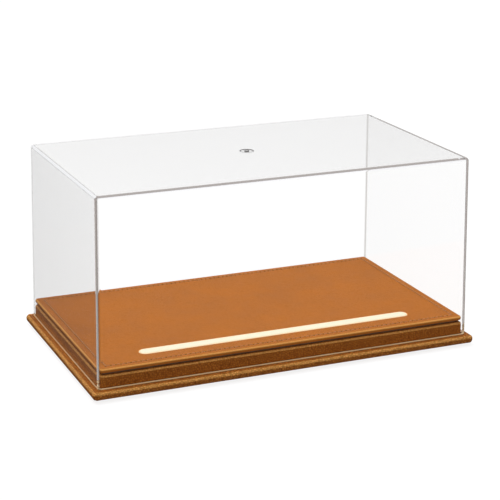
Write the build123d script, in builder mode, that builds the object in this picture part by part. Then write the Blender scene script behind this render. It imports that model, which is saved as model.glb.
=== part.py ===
from build123d import *
import math
import os

# A display case for a model car: a clear cover stands on a leather base with a light bar in its deck.
# X runs along the case, -Y is its front, Z is up, and Z = 0 is the surface that it stands on.

# Clear cover, one drafted moulding; its length and depth are outside sizes at the rim
cover_length = 320.0
cover_depth = 183.0
cover_height = 151.0
cover_wall = 2.0
cover_draft = 0.9
cover_corner_radius = 3.5
cover_top_radius = 3.0
cover_inner_radius = 1.2
cover_rim_chamfer = 0.3
cover_seat_gap = 0.1
gate_diameter = 11.0
gate_depth = 0.5
gate_nub_diameter = 3.0

# Leather over the boards
leather = 0.8
glue_line = 0.15
turn_in_width = 15.0

# Plinth, the lowest tier; the ledge is what shows of it outside the cover
ledge_width = 5.0
plinth_thickness = 6.6
plinth_corner_radius = 3.2
plinth_edge_radius = 2.8
plinth_board_chamfer = 1.2

# Riser, the block that the cover fits round, with a groove between it and the deck
riser_clearance = 0.6
riser_height = 10.6
riser_corner_radius = 2.6
riser_edge_radius = 1.2
groove_height = 1.5
groove_depth = 3.0

# Deck, the board that the model stands on
deck_thickness = 3.6
deck_corner_radius = 2.6
deck_edge_radius = 1.5
deck_board_chamfer = 0.5
deck_turn_in_width = 9.0

# Light bar
slot_length = 236.0
slot_width = 11.0
slot_setback = 24.0
slot_edge_radius = 0.5
lens_gap = 0.2
lens_proud = 0.3
lens_edge_radius = 0.9
lens_flange_width = 2.0
lens_flange_thickness = 1.2
lens_seat_gap = 0.1
light_pocket_depth = 7.7
light_pocket_gap = 0.4
channel_wall = 1.2
channel_lip = 0.5
channel_seat_gap = 0.1
circuit_end_margin = 3.0
circuit_width = 8.0
circuit_thickness = 0.4
chip_length = 3.5
chip_width = 2.8
chip_height = 0.7
chip_pitch = 16.0
resistor_length = 3.2
resistor_width = 1.6
resistor_height = 0.6
solder_length = 3.4
solder_width = 2.2
solder_height = 1.5
solder_spacing = 4.0

# Feet and the lining under the base
foot_diameter = 14.0
foot_height = 1.6
foot_chamfer = 0.4
foot_inset = 20.0
lining_thickness = 0.6
lining_inset = 6.0
lining_corner_radius = 2.0

# Cells in the battery box, which is let into the base from below
cell_diameter = 10.5
cell_length = 44.5
cell_nub_diameter = 3.8
cell_nub_height = 0.9
cell_edge_chamfer = 0.4
cell_gap = 0.6
cell_play = 0.1
cell_count = 3
cell_door_gap = 0.95
cell_roof_gap = 0.25
battery_centre_y = 25.0
box_wall = 1.5
box_roof = 1.4
box_fit = 0.4
box_flange_width = 7.0
box_flange_thickness = 1.6
box_flange_fit = 0.3
box_flange_corner_radius = 3.0
cradle_rib_thickness = 1.6
cradle_rib_height = 4.0
cradle_rib_spacing = 28.0
cradle_gap = 0.3

# Sprung and plain contacts of the cells
contact_sheet = 0.4
contact_gap = 0.1
contact_width = 8.6
contact_height = 6.4
dimple_diameter = 4.2
dimple_height = 0.6
spring_wire = 0.6
spring_wire_sides = 6
spring_length = 4.6
spring_turns = 3
spring_base_radius = 3.4
spring_tip_radius = 2.3
lug_width = 3.0
lug_rise = 0.7
lug_slit_gap = 0.3

# Battery door, hung on two hooks and held by a springy tongue
door_gap = 0.35
door_seat_gap = 0.15
door_overlap = 1.0
door_pivot_inset = 1.5
door_hook_width = 3.0
door_hook_thickness = 1.0
door_hook_gap = 0.3
door_tongue_width = 8.0
door_tongue_length = 12.0
door_slit = 0.8
door_nib_height = 1.2
door_nib_length = 1.4
door_grip_groove = 0.8
door_grip_depth = 0.4
door_grip_count = 4
finger_notch_radius = 7.0
finger_notch_depth = 0.9

# Slide switch beside the cells
switch_bay_margin = 1.3
switch_travel = 2.5
switch_body_length = 12.6
switch_body_width = 6.4
switch_body_height = 5.4
switch_plate_thickness = 0.6
switch_boss_diameter = 4.4
switch_boss_height = 2.0
switch_cavity_height = 2.4
carriage_length = 5.0
carriage_width = 3.4
carriage_height = 1.6
knob_length = 3.0
knob_width = 2.4
knob_proud = 0.7
stem_length = 2.6
stem_width = 1.6
switch_gap = 0.3
terminal_length = 1.0
terminal_thickness = 0.5
terminal_height = 3.0
terminal_pitch = 3.0

# Wires inside the base
wire_diameter = 1.2
wire_sides = 8
wire_pitch = 1.8
wire_channel_width = 4.4
wire_channel_depth = 3.0
wire_bend_radius = 12.0
wire_turn_radius = 1.8
wire_end_room = 10.0
wire_hole_diameter = 4.4
well_margin = 2.4

# Screws: the large ones join plinth and riser, the small ones hold the battery box and the switch
base_screw_diameter = 3.0
base_screw_length = 14.0
base_screw_head = 6.0
base_screw_inset_x = 20.0
base_screw_front_y = -38.0
base_screw_back_y = 70.0
small_screw_diameter = 2.0
small_screw_length = 5.5
small_screw_head = 3.8
switch_screw_length = 3.0
screw_hole_gap = 0.2
screw_thread_gap = 0.05
screw_sink = 0.1
screw_inset = 3.5

# Heights, from the standing surface up
plinth_bottom = foot_height + lining_thickness
plinth_top = plinth_bottom + plinth_thickness
riser_top = plinth_top + riser_height
deck_bottom = riser_top + groove_height
deck_top = deck_bottom + deck_thickness
cover_bottom = plinth_top + cover_seat_gap
cover_top = cover_bottom + cover_height

# Outlines of the tiers
draft_slope = math.tan(math.radians(cover_draft))
plinth_length = cover_length + 2 * ledge_width
plinth_depth = cover_depth + 2 * ledge_width
riser_length = cover_length - 2 * (cover_wall + riser_clearance)
riser_depth = cover_depth - 2 * (cover_wall + riser_clearance)
deck_draft = (deck_top - plinth_top) * draft_slope
deck_length = riser_length - 2 * deck_draft
deck_depth = riser_depth - 2 * deck_draft
skin = leather + glue_line

# Light bar places
light_y = -deck_depth / 2 + slot_setback
light_floor = deck_bottom - light_pocket_depth
flange_top = deck_bottom - lens_seat_gap
flange_bottom = flange_top - lens_flange_thickness
channel_length = slot_length + 2 * lens_flange_width
channel_width = slot_width + 2 * lens_flange_width
channel_top = flange_bottom - channel_seat_gap
circuit_bottom = light_floor + channel_wall
circuit_top = circuit_bottom + circuit_thickness
circuit_length = channel_length - 2 * circuit_end_margin
chip_count = 1 + int((circuit_length - 2 * solder_length - chip_length) // chip_pitch)

# Switch plate, as long as its two screws need beside the can
switch_boss_spacing = switch_body_length + small_screw_head + 2 * switch_gap
switch_plate_length = switch_boss_spacing + switch_boss_diameter
switch_bay_length = switch_plate_length + 2 * switch_bay_margin

# Battery box places
door_face = foot_height
door_inner = door_face + box_flange_thickness
cell_pitch = cell_diameter + cell_gap
cell_z = door_inner + cell_door_gap + cell_diameter / 2
roof_bottom = cell_z + cell_diameter / 2 + cell_roof_gap
box_top = roof_bottom + box_roof
contact_depth = contact_gap + contact_sheet
bay_length = cell_length + spring_length + dimple_height + 2 * (contact_depth + cell_play)
bay_width = cell_count * cell_pitch + cell_gap
bay_low_x = -bay_length / 2
bay_high_x = bay_length / 2
switch_bay_low_x = bay_high_x + box_wall
switch_bay_high_x = switch_bay_low_x + switch_bay_length
tray_length = bay_length + switch_bay_length + 3 * box_wall
tray_width = bay_width + 2 * box_wall
tray_centre_x = (bay_low_x + switch_bay_high_x) / 2
box_flange_length = tray_length + 2 * box_flange_width
box_flange_depth = tray_width + 2 * box_flange_width
cell_rows = [battery_centre_y + cell_pitch * (1 - row) for row in range(cell_count)]
pocket_roof = box_top + box_fit

# Battery door places
door_pivot_radius = box_flange_thickness / 2
door_pivot_x = bay_low_x + door_pivot_inset
door_pivot_z = door_face + door_pivot_radius
door_end_x = bay_high_x + door_overlap
door_width = bay_width + 2 * door_overlap
hook_inner_radius = math.hypot(door_pivot_radius + door_gap, door_pivot_radius) + door_hook_gap
hook_outer_radius = hook_inner_radius + door_hook_thickness
hook_floor = door_pivot_radius + door_hook_gap
hook_rows = [battery_centre_y - cell_pitch / 2, battery_centre_y + cell_pitch / 2]

# Switch places
switch_x = switch_bay_low_x + switch_bay_length / 2
switch_y = cell_rows[2] + wire_pitch
switch_plate_bottom = door_inner + switch_boss_height
switch_plate_top = switch_plate_bottom + switch_plate_thickness
switch_body_top = switch_plate_top + switch_body_height
terminal_top = switch_body_top + terminal_height
switch_bosses = [switch_x - switch_boss_spacing / 2, switch_x + switch_boss_spacing / 2]

# Wire places
wire_z = deck_bottom - wire_channel_depth / 2
solder_end_x = circuit_length / 2
solder_z = circuit_top + solder_height / 2
wire_column_x = channel_length / 2 + wire_end_room / 2
wire_row_y = cell_rows[2] + wire_pitch / 2
lug_left_x = bay_low_x + contact_gap + contact_sheet / 2
lug_right_x = -lug_left_x
lug_top = box_top + lug_rise
well_low_x = lug_right_x - well_margin
well_high_x = switch_bay_high_x - box_wall
well_low_y = cell_rows[2] - well_margin
well_high_y = cell_rows[0] + well_margin

# Screw places
base_screw_x = riser_length / 2 - base_screw_inset_x
base_screws_xy = [
    (x, y) for x in (-base_screw_x, 0, base_screw_x) for y in (base_screw_front_y, base_screw_back_y)
]
box_screws_xy = [
    (tray_centre_x + side_x * (box_flange_length / 2 - screw_inset),
     battery_centre_y + side_y * (box_flange_depth / 2 - screw_inset))
    for side_x in (-1, 1)
    for side_y in (-1, 1)
]

os.makedirs("parts", exist_ok=True)


def rounded_plate(length, depth, low, high, corner_radius, edge_radius):
    """A flat plate between two heights, rounded at its corners and along its upper and lower edges."""
    with BuildPart() as plate:
        with BuildSketch(Plane.XY.offset(low)):
            RectangleRounded(length, depth, corner_radius)
        extrude(amount=high - low)
        levels = plate.edges().group_by(Axis.Z)
        fillet(levels[0] + levels[-1], edge_radius)
    return plate.part


def chamfered_plate(length, depth, low, high, corner_radius, edge_chamfer):
    """A flat plate between two heights, rounded at its corners and chamfered along its edges."""
    with BuildPart() as plate:
        with BuildSketch(Plane.XY.offset(low)):
            RectangleRounded(length, depth, corner_radius)
        extrude(amount=high - low)
        levels = plate.edges().group_by(Axis.Z)
        chamfer(levels[0] + levels[-1], edge_chamfer)
    return plate.part


def countersunk_screw(diameter, length, head_diameter):
    """A screw with its flat head at Z = 0 and its point up, with a cross recess in the head."""
    head_height = (head_diameter - diameter) / 2
    with BuildPart() as screw:
        with BuildSketch(Plane.XZ):
            with BuildLine():
                Polyline(
                    (0, 0),
                    (head_diameter / 2, 0),
                    (diameter / 2, head_height),
                    (diameter / 2, length - diameter),
                    (0, length),
                    close=True,
                )
            make_face()
        revolve(axis=Axis.Z)
        with BuildSketch(Plane.XY):
            Rectangle(head_diameter / 2, diameter / 5)
            Rectangle(diameter / 5, head_diameter / 2)
        extrude(amount=head_height / 2, mode=Mode.SUBTRACT)
    return screw.part


def wire(points, radii):
    """A round wire along straight runs joined by arcs."""
    with BuildPart() as run:
        with BuildLine() as route:
            FilletPolyline(*points, radius=radii)
        with BuildSketch(Plane(origin=route.line @ 0, z_dir=route.line % 0)):
            RegularPolygon(wire_diameter / 2, wire_sides)
        sweep()
    return run.part


# Clear cover
with BuildPart() as cover_hollow:
    with BuildSketch(Plane.XY.offset(cover_bottom)):
        Rectangle(cover_length - 2 * cover_wall, cover_depth - 2 * cover_wall)
    extrude(amount=cover_height - cover_wall, taper=cover_draft)
    level_edges = cover_hollow.edges().filter_by(Plane.XY)
    fillet(cover_hollow.edges() - level_edges, cover_inner_radius)
    fillet(cover_hollow.edges().group_by(Axis.Z)[-1], cover_inner_radius)

with BuildPart() as cover:
    with BuildSketch(Plane.XY.offset(cover_bottom)):
        Rectangle(cover_length, cover_depth)
    extrude(amount=cover_height, taper=cover_draft)
    level_edges = cover.edges().filter_by(Plane.XY)
    fillet(cover.edges() - level_edges, cover_corner_radius)
    fillet(cover.edges().group_by(Axis.Z)[-1], cover_top_radius)
    chamfer(cover.edges().group_by(Axis.Z)[0], cover_rim_chamfer)
    add(cover_hollow.part, mode=Mode.SUBTRACT)
    # The moulding gate leaves a round recess with a nub in it
    with BuildSketch(Plane.XY.offset(cover_top)):
        Circle(gate_diameter / 2)
        Circle(gate_nub_diameter / 2, mode=Mode.SUBTRACT)
    extrude(amount=-gate_depth, mode=Mode.SUBTRACT)
cover.part.label = "cover"
export_step(cover.part, "parts/cover.step")

# Plinth: a leather skin folded round a board and turned in underneath
plinth_body = rounded_plate(
    plinth_length, plinth_depth, plinth_bottom, plinth_top, plinth_corner_radius, plinth_edge_radius
)
plinth_space = chamfered_plate(
    plinth_length - 2 * leather,
    plinth_depth - 2 * leather,
    plinth_bottom + leather,
    plinth_top - leather,
    plinth_corner_radius - leather,
    plinth_board_chamfer,
)
plinth_core = chamfered_plate(
    plinth_length - 2 * skin,
    plinth_depth - 2 * skin,
    plinth_bottom + skin,
    plinth_top - skin,
    plinth_corner_radius - skin,
    plinth_board_chamfer,
)

with BuildPart() as plinth_leather:
    add(plinth_body)
    add(plinth_space, mode=Mode.SUBTRACT)
    with BuildSketch(Plane.XY.offset(plinth_bottom)):
        Rectangle(plinth_length - 2 * turn_in_width, plinth_depth - 2 * turn_in_width)
    extrude(amount=plinth_thickness / 2, mode=Mode.SUBTRACT)
    with BuildSketch(Plane.XY.offset(plinth_top)):
        with Locations((tray_centre_x, battery_centre_y)):
            Rectangle(tray_length + 2 * box_fit, tray_width + 2 * box_fit)
        with Locations(base_screws_xy):
            Circle(base_screw_diameter / 2 + screw_hole_gap)
    extrude(amount=-2 * skin, mode=Mode.SUBTRACT)
plinth_leather.part.label = "plinth_leather"
export_step(plinth_leather.part, "parts/plinth_leather.step")

with BuildPart() as plinth_board:
    add(plinth_core)
    with BuildSketch(Plane.XY.offset(plinth_bottom)):
        Rectangle(
            plinth_length - 2 * (turn_in_width + glue_line), plinth_depth - 2 * (turn_in_width + glue_line)
        )
    extrude(amount=plinth_thickness / 2)
    with BuildSketch(Plane.XY.offset(plinth_bottom)):
        with Locations((tray_centre_x, battery_centre_y)):
            Rectangle(tray_length + 2 * box_fit, tray_width + 2 * box_fit)
    extrude(amount=plinth_thickness, mode=Mode.SUBTRACT)
    # Rebate for the battery box's flange
    with BuildSketch(Plane.XY.offset(plinth_bottom)):
        with Locations((tray_centre_x, battery_centre_y)):
            RectangleRounded(
                box_flange_length + 2 * box_flange_fit,
                box_flange_depth + 2 * box_flange_fit,
                box_flange_corner_radius + box_flange_fit,
            )
    extrude(amount=door_inner - plinth_bottom, mode=Mode.SUBTRACT)
    with Locations([Plane(origin=(x, y, plinth_bottom), z_dir=(0, 0, -1)) for x, y in base_screws_xy]):
        CounterSinkHole(
            base_screw_diameter / 2 + screw_hole_gap,
            base_screw_head / 2 + screw_hole_gap,
            counter_sink_angle=90,
        )
    with Locations([Plane(origin=(x, y, door_inner), z_dir=(0, 0, -1)) for x, y in box_screws_xy]):
        Hole(small_screw_diameter / 2 + screw_thread_gap, depth=small_screw_length)
plinth_board.part.label = "plinth_board"
export_step(plinth_board.part, "parts/plinth_board.step")

# Riser: a leather band round a board, folded over its top edge as far as the raised seat of the deck
with BuildPart() as riser_leather:
    with BuildSketch(Plane.XY.offset(plinth_top)):
        RectangleRounded(riser_length, riser_depth, riser_corner_radius)
    extrude(amount=riser_height)
    fillet(riser_leather.edges().group_by(Axis.Z)[-1], riser_edge_radius)
    with BuildSketch(Plane.XY.offset(plinth_top)):
        RectangleRounded(riser_length - 2 * leather, riser_depth - 2 * leather, riser_corner_radius - leather)
    extrude(amount=riser_height - leather, mode=Mode.SUBTRACT)
    with BuildSketch(Plane.XY.offset(riser_top)):
        Rectangle(riser_length - 2 * groove_depth, riser_depth - 2 * groove_depth)
    extrude(amount=-2 * leather, mode=Mode.SUBTRACT)
riser_leather.part.label = "riser_leather"
export_step(riser_leather.part, "parts/riser_leather.step")

with BuildPart() as riser_board:
    with BuildSketch(Plane.XY.offset(plinth_top + glue_line)):
        RectangleRounded(riser_length - 2 * skin, riser_depth - 2 * skin, riser_corner_radius - skin)
    extrude(amount=riser_height - skin - glue_line)
    with BuildSketch(Plane.XY.offset(riser_top - skin)):
        Rectangle(
            riser_length - 2 * (groove_depth + glue_line), riser_depth - 2 * (groove_depth + glue_line)
        )
    extrude(amount=deck_bottom - riser_top + skin)
    # Pocket for the light bar, with room for the wires at its right end
    with BuildSketch(Plane.XY.offset(deck_bottom)):
        with Locations((wire_end_room / 2, light_y)):
            Rectangle(
                channel_length + wire_end_room + 2 * light_pocket_gap, channel_width + 2 * light_pocket_gap
            )
    extrude(amount=-light_pocket_depth, mode=Mode.SUBTRACT)
    # Pocket for the battery box, from below
    with BuildSketch(Plane.XY.offset(plinth_top)):
        with Locations((tray_centre_x, battery_centre_y)):
            Rectangle(tray_length + 2 * box_fit, tray_width + 2 * box_fit)
    extrude(amount=pocket_roof - plinth_top, mode=Mode.SUBTRACT)
    # Well over the switch, and a hole over the left lug
    with BuildSketch(Plane.XY.offset(deck_bottom)):
        with Locations(((well_low_x + well_high_x) / 2, (well_low_y + well_high_y) / 2)):
            Rectangle(well_high_x - well_low_x, well_high_y - well_low_y)
        with Locations((lug_left_x, cell_rows[2])):
            Circle(wire_hole_diameter / 2)
    extrude(amount=pocket_roof - deck_bottom, mode=Mode.SUBTRACT)
    # Channels for the wires
    with BuildSketch(Plane.XY.offset(deck_bottom)):
        with BuildLine():
            FilletPolyline(
                (well_low_x, wire_row_y),
                (wire_column_x, wire_row_y),
                (wire_column_x, light_y),
                radius=wire_bend_radius,
            )
        trace(line_width=wire_channel_width)
        with BuildLine():
            Line((lug_left_x, cell_rows[2]), (well_high_x, cell_rows[2]))
        trace(line_width=2 * wire_diameter)
    extrude(amount=-wire_channel_depth, mode=Mode.SUBTRACT)
    with Locations([Plane(origin=(x, y, plinth_top), z_dir=(0, 0, -1)) for x, y in base_screws_xy]):
        Hole(base_screw_diameter / 2 + screw_thread_gap, depth=base_screw_length - plinth_thickness)
riser_board.part.label = "riser_board"
export_step(riser_board.part, "parts/riser_board.step")

# Deck: leather folded round a thin board and down into the slot of the light bar
deck_body = rounded_plate(
    deck_length, deck_depth, deck_bottom, deck_top, deck_corner_radius, deck_edge_radius
)
deck_space = chamfered_plate(
    deck_length - 2 * leather,
    deck_depth - 2 * leather,
    deck_bottom + leather,
    deck_top - leather,
    deck_corner_radius - leather,
    deck_board_chamfer,
)
deck_core = chamfered_plate(
    deck_length - 2 * skin,
    deck_depth - 2 * skin,
    deck_bottom + skin,
    deck_top - skin,
    deck_corner_radius - skin,
    deck_board_chamfer,
)

with BuildPart() as deck_leather:
    add(deck_body)
    add(deck_space, mode=Mode.SUBTRACT)
    with BuildSketch(Plane.XY.offset(deck_bottom)):
        Rectangle(deck_length - 2 * deck_turn_in_width, deck_depth - 2 * deck_turn_in_width)
    extrude(amount=deck_thickness / 2, mode=Mode.SUBTRACT)
    with BuildSketch(Plane.XY.offset(deck_bottom)):
        with Locations((0, light_y)):
            SlotOverall(slot_length + 2 * leather, slot_width + 2 * leather)
    extrude(amount=deck_thickness)
    with BuildSketch(Plane.XY.offset(deck_bottom)):
        with Locations((0, light_y)):
            SlotOverall(slot_length, slot_width)
    extrude(amount=deck_thickness, mode=Mode.SUBTRACT)
    top_face = deck_leather.faces().sort_by(Axis.Z)[-1]
    fillet(top_face.inner_wires()[0].edges(), slot_edge_radius)
deck_leather.part.label = "deck_leather"
export_step(deck_leather.part, "parts/deck_leather.step")

with BuildPart() as deck_board:
    add(deck_core)
    with BuildSketch(Plane.XY.offset(deck_bottom)):
        Rectangle(
            deck_length - 2 * (deck_turn_in_width + glue_line),
            deck_depth - 2 * (deck_turn_in_width + glue_line),
        )
    extrude(amount=deck_thickness / 2)
    with BuildSketch(Plane.XY.offset(deck_bottom)):
        with Locations((0, light_y)):
            SlotOverall(slot_length + 2 * skin, slot_width + 2 * skin)
    extrude(amount=deck_thickness, mode=Mode.SUBTRACT)
deck_board.part.label = "deck_board"
export_step(deck_board.part, "parts/deck_board.step")

# Light bar: an opal lens over a lit circuit in a metal channel
with BuildPart() as led_diffuser:
    with BuildSketch(Plane.XY.offset(flange_bottom)):
        with Locations((0, light_y)):
            SlotOverall(slot_length - 2 * lens_gap, slot_width - 2 * lens_gap)
    extrude(amount=deck_top + lens_proud - flange_bottom)
    fillet(led_diffuser.edges().group_by(Axis.Z)[-1], lens_edge_radius)
    with BuildSketch(Plane.XY.offset(flange_bottom)):
        with Locations((0, light_y)):
            SlotOverall(channel_length, channel_width)
    extrude(amount=lens_flange_thickness)
led_diffuser.part.label = "led_diffuser"
export_step(led_diffuser.part, "parts/led_diffuser.step")

channel_height = channel_top - light_floor
with BuildPart() as led_channel:
    with BuildSketch(Plane(origin=(-channel_length / 2, light_y, light_floor), x_dir=(0, 1, 0), z_dir=(1, 0, 0))):
        Rectangle(channel_width, channel_height, align=(Align.CENTER, Align.MIN))
        with Locations((0, channel_wall)):
            Rectangle(
                channel_width - 2 * channel_wall,
                channel_height - 2 * channel_wall,
                align=(Align.CENTER, Align.MIN),
                mode=Mode.SUBTRACT,
            )
        with Locations((0, channel_height)):
            Rectangle(
                channel_width - 2 * (channel_wall + channel_lip),
                2 * channel_wall,
                align=(Align.CENTER, Align.MAX),
                mode=Mode.SUBTRACT,
            )
    extrude(amount=channel_length)
led_channel.part.label = "led_channel"
export_step(led_channel.part, "parts/led_channel.step")

solder_rows = [light_y - solder_spacing / 2, light_y + solder_spacing / 2]
with BuildPart() as led_circuit:
    with BuildSketch(Plane.XY.offset(circuit_bottom)):
        with Locations((0, light_y)):
            Rectangle(circuit_length, circuit_width)
    extrude(amount=circuit_thickness)
    with BuildSketch(Plane.XY.offset(circuit_top)):
        with Locations([(solder_end_x - solder_length / 2, y) for y in solder_rows]):
            Rectangle(solder_length, solder_width)
    extrude(amount=solder_height)
    solder_edges = led_circuit.edges().group_by(Axis.Z)[-1].filter_by(Axis.Y).sort_by(Axis.X)
    fillet(solder_edges[:2], solder_height / 2)
led_circuit.part.label = "led_circuit"
export_step(led_circuit.part, "parts/led_circuit.step")

with BuildPart() as led_chips:
    with BuildSketch(Plane.XY.offset(circuit_top)):
        with Locations((0, light_y)):
            with GridLocations(chip_pitch, 0, chip_count, 1):
                Rectangle(chip_length, chip_width)
    extrude(amount=chip_height)
led_chips.part.label = "led_chips"
export_step(led_chips.part, "parts/led_chips.step")

with BuildPart() as led_resistors:
    with BuildSketch(Plane.XY.offset(circuit_top)):
        with Locations((0, light_y)):
            with GridLocations(chip_pitch, 0, chip_count - 1, 1):
                Rectangle(resistor_length, resistor_width)
    extrude(amount=resistor_height)
led_resistors.part.label = "led_resistors"
export_step(led_resistors.part, "parts/led_resistors.step")

# Lining and feet
with BuildPart() as base_lining:
    with BuildSketch(Plane.XY.offset(foot_height)):
        RectangleRounded(
            plinth_length - 2 * lining_inset, plinth_depth - 2 * lining_inset, lining_corner_radius
        )
        with Locations((tray_centre_x, battery_centre_y)):
            RectangleRounded(
                box_flange_length + 2 * box_flange_fit,
                box_flange_depth + 2 * box_flange_fit,
                box_flange_corner_radius + box_flange_fit,
                mode=Mode.SUBTRACT,
            )
    extrude(amount=lining_thickness)
base_lining.part.label = "base_lining"
export_step(base_lining.part, "parts/base_lining.step")

foot_x = plinth_length / 2 - foot_inset
foot_y = plinth_depth / 2 - foot_inset
foot_places = {
    "front_left": (-foot_x, -foot_y),
    "front_right": (foot_x, -foot_y),
    "back_left": (-foot_x, foot_y),
    "back_right": (foot_x, foot_y),
}
for corner, (x, y) in foot_places.items():
    with BuildPart() as foot:
        with BuildSketch(Plane(origin=(x, y, 0))):
            Circle(foot_diameter / 2)
        extrude(amount=foot_height)
        chamfer(foot.edges().group_by(Axis.Z)[0], foot_chamfer)
    foot.part.label = f"foot_{corner}"
    export_step(foot.part, f"parts/foot_{corner}.step")

# Battery box: a moulded tray for the cells and the switch, with a flange that is flush with the lining
with BuildPart() as battery_box:
    with BuildSketch(Plane.XY.offset(door_face)):
        with Locations((tray_centre_x, battery_centre_y)):
            RectangleRounded(box_flange_length, box_flange_depth, box_flange_corner_radius)
    extrude(amount=box_flange_thickness)
    with BuildSketch(Plane.XY.offset(door_inner)):
        with Locations((tray_centre_x, battery_centre_y)):
            Rectangle(tray_length, tray_width)
    extrude(amount=box_top - door_inner)
    with BuildSketch(Plane.XY.offset(door_inner)):
        with Locations((0, battery_centre_y)):
            Rectangle(bay_length, bay_width)
        with Locations((switch_x, battery_centre_y)):
            Rectangle(switch_bay_length, bay_width)
    extrude(amount=roof_bottom - door_inner, mode=Mode.SUBTRACT)
    # Cradle ribs under the roof, hollowed for the cells
    with BuildSketch(Plane.XY.offset(roof_bottom)):
        with Locations((0, battery_centre_y)):
            with GridLocations(cradle_rib_spacing, 0, 2, 1):
                Rectangle(cradle_rib_thickness, bay_width)
    extrude(amount=-cradle_rib_height)
    with BuildSketch(Plane(origin=(bay_low_x, 0, cell_z), x_dir=(0, 1, 0), z_dir=(1, 0, 0))):
        with Locations([(y, 0) for y in cell_rows]):
            Circle(cell_diameter / 2 + min(cradle_gap, cell_roof_gap))
    extrude(amount=bay_length, mode=Mode.SUBTRACT)
    # Window for the door, cut a little into the rims of the walls that it closes on
    with BuildSketch(Plane.XY.offset(door_face)):
        window_low_x = door_pivot_x - door_pivot_radius - door_gap
        window_high_x = door_end_x + door_gap
        with Locations(((window_low_x + window_high_x) / 2, battery_centre_y)):
            Rectangle(window_high_x - window_low_x, door_width + 2 * door_gap)
    extrude(amount=box_flange_thickness + door_seat_gap, mode=Mode.SUBTRACT)
    # Slots in the left wall for the door's hooks
    hook_slot_height = door_pivot_z + hook_outer_radius + door_hook_gap - door_inner
    with BuildSketch(Plane.XY.offset(door_inner)):
        with Locations([(bay_low_x - box_wall / 2, y) for y in hook_rows]):
            Rectangle(box_wall, door_hook_width + 2 * door_hook_gap)
    extrude(amount=hook_slot_height, mode=Mode.SUBTRACT)
    # Notch in the partition for the door's nib, and a fingernail notch in the flange
    with BuildSketch(Plane.XY.offset(door_inner)):
        with Locations((bay_high_x, battery_centre_y)):
            Rectangle(
                door_overlap + 2 * door_gap, door_tongue_width + 2 * door_gap, align=(Align.MIN, Align.CENTER)
            )
    extrude(amount=door_nib_height + door_gap, mode=Mode.SUBTRACT)
    with BuildSketch(Plane.XY.offset(door_face)):
        with Locations((door_end_x, battery_centre_y)):
            Circle(finger_notch_radius)
    extrude(amount=finger_notch_depth, mode=Mode.SUBTRACT)
    # Bosses and window for the switch
    with BuildSketch(Plane.XY.offset(door_inner)):
        with Locations([(x, switch_y) for x in switch_bosses]):
            Circle(switch_boss_diameter / 2)
    extrude(amount=switch_boss_height)
    with Locations([(x, switch_y, switch_plate_bottom) for x in switch_bosses]):
        Hole(small_screw_diameter / 2 + screw_thread_gap, depth=switch_screw_length)
    with BuildSketch(Plane.XY.offset(door_face)):
        with Locations((switch_x, switch_y)):
            Rectangle(knob_length + switch_travel + 2 * switch_gap, knob_width + 2 * switch_gap)
    extrude(amount=box_flange_thickness, mode=Mode.SUBTRACT)
    # Openings in the roof for the lugs and for the wires of the switch
    with BuildSketch(Plane.XY.offset(roof_bottom)):
        with Locations((lug_left_x, cell_rows[2]), (lug_right_x, cell_rows[0])):
            Rectangle(contact_sheet + 2 * contact_gap, lug_width + 2 * lug_slit_gap)
        with Locations((switch_x - terminal_pitch / 2, switch_y)):
            Rectangle(terminal_pitch + 3 * wire_diameter, 3 * wire_diameter)
    extrude(amount=box_roof, mode=Mode.SUBTRACT)
    with Locations([Plane(origin=(x, y, door_face), z_dir=(0, 0, -1)) for x, y in box_screws_xy]):
        CounterSinkHole(
            small_screw_diameter / 2 + screw_hole_gap,
            small_screw_head / 2 + screw_hole_gap,
            depth=box_flange_thickness,
            counter_sink_angle=90,
        )
battery_box.part.label = "battery_box"
export_step(battery_box.part, "parts/battery_box.step")

# Battery door: its left edge is round about the pivot, and its hooks turn inside the left wall's slots
with BuildPart() as battery_door:
    door_plane = Plane(
        origin=(door_pivot_x, battery_centre_y - door_width / 2, door_pivot_z), x_dir=(1, 0, 0), z_dir=(0, 1, 0)
    )
    with BuildSketch(door_plane):
        Circle(door_pivot_radius)
        Rectangle(door_end_x - door_pivot_x, box_flange_thickness, align=(Align.MIN, Align.CENTER))
    extrude(amount=door_width)
    for y in hook_rows:
        hook_plane = Plane(
            origin=(door_pivot_x, y + door_hook_width / 2, door_pivot_z), x_dir=(1, 0, 0), z_dir=(0, -1, 0)
        )
        with BuildSketch(hook_plane):
            Circle(hook_outer_radius)
            Circle(hook_inner_radius, mode=Mode.SUBTRACT)
            with Locations((0, hook_floor)):
                Rectangle(
                    hook_outer_radius, hook_outer_radius, align=(Align.MAX, Align.MIN), mode=Mode.INTERSECT
                )
            Rectangle(door_hook_thickness, hook_outer_radius - door_hook_gap, align=(Align.MIN, Align.MIN))
        extrude(amount=door_hook_width)
    with BuildSketch(Plane.XY.offset(door_face)):
        tongue_half = (door_tongue_width + door_slit) / 2
        with Locations(
            (door_end_x, battery_centre_y - tongue_half), (door_end_x, battery_centre_y + tongue_half)
        ):
            Rectangle(door_tongue_length, door_slit, align=(Align.MAX, Align.CENTER))
    extrude(amount=box_flange_thickness, mode=Mode.SUBTRACT)
    with BuildSketch(Plane.XY.offset(door_inner)):
        with Locations((door_end_x, battery_centre_y)):
            Rectangle(door_nib_length, door_tongue_width, align=(Align.MAX, Align.CENTER))
    extrude(amount=door_nib_height)
    with BuildSketch(Plane.XY.offset(door_face)):
        with Locations((door_end_x - door_tongue_length / 2, battery_centre_y)):
            with GridLocations(2 * door_grip_groove, 0, door_grip_count, 1):
                Rectangle(door_grip_groove, door_tongue_width - 2 * door_grip_groove)
    extrude(amount=door_grip_depth, mode=Mode.SUBTRACT)
battery_door.part.label = "battery_door"
export_step(battery_door.part, "parts/battery_door.step")

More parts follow.
